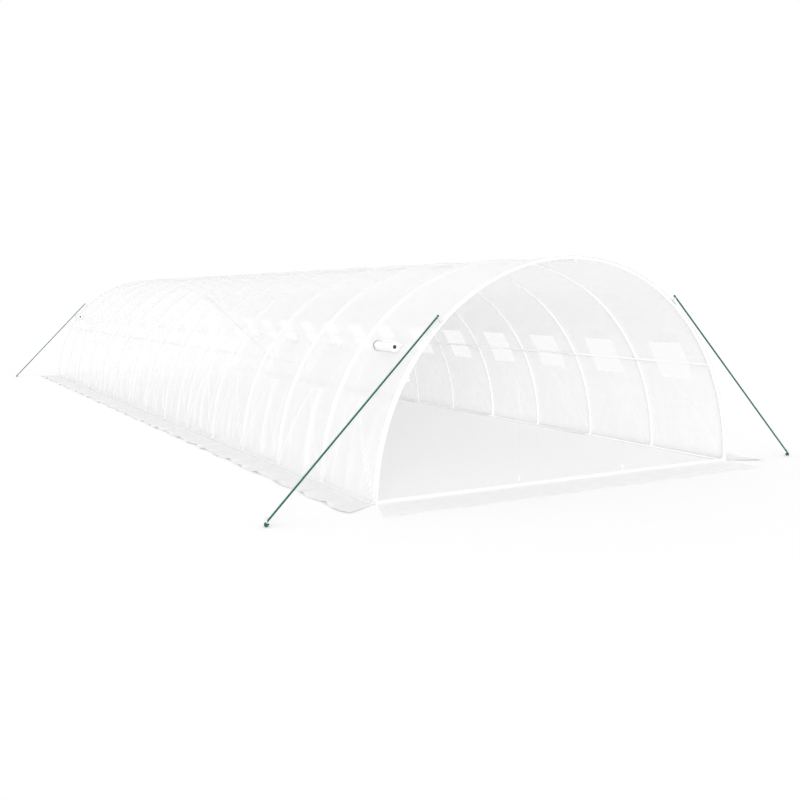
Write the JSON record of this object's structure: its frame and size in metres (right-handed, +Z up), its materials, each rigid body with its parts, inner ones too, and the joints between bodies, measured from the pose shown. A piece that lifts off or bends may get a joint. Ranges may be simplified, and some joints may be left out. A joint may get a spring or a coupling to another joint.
{
  "type": "polytunnel greenhouse",
  "caption": "Half-round polytunnel greenhouse: white steel hoops under translucent film, with mesh side windows, rolled flaps, ground skirts and green guy ropes.",
  "frame": {"origin": "on the ground, in the middle of the tunnel", "axes": "+X across to the right of a person facing the rear, +Y along the tunnel from its front end to its rear end, +Z up"},
  "size_m": [6.08, 14.86, 2],
  "materials": {
    "tube": "satin white coat",
    "film": "translucent woven film",
    "mesh": "open insect mesh",
    "rope": "twisted green cord",
    "webbing": "sewn webbing",
    "peg": "bare steel"
  },
  "bodies": {
    "root": {"hoop_01": "tube", "hoop_02": "tube", "hoop_03": "tube", "hoop_04": "tube", "hoop_05": "tube", "hoop_06": "tube", "hoop_07": "tube", "hoop_08": "tube", "hoop_09": "tube", "hoop_10": "tube", "hoop_11": "tube", "hoop_12": "tube", "hoop_13": "tube", "hoop_14": "tube", "hoop_15": "tube", "ridge_tube": "tube", "left_side_tube": "tube", "left_ground_tube": "tube", "left_wall_film": "film", "left_window_meshes": "mesh", "left_window_rolls": "film", "left_skirt": "film", "right_side_tube": "tube", "right_ground_tube": "tube", "right_wall_film": "film", "right_window_meshes": "mesh", "right_window_rolls": "film", "right_skirt": "film", "roof_film": "film", "front_ground_tube": "tube", "front_panel": "film", "front_door": "film", "front_skirt": "film", "front_left_rope": "rope", "front_right_rope": "rope", "rear_ground_tube": "tube", "rear_panel": "film", "rear_door": "film", "rear_skirt": "film", "rear_left_rope": "rope", "rear_right_rope": "rope", "rope_tabs": "webbing", "ground_pegs": "peg"}
  },
  "joints": []
}
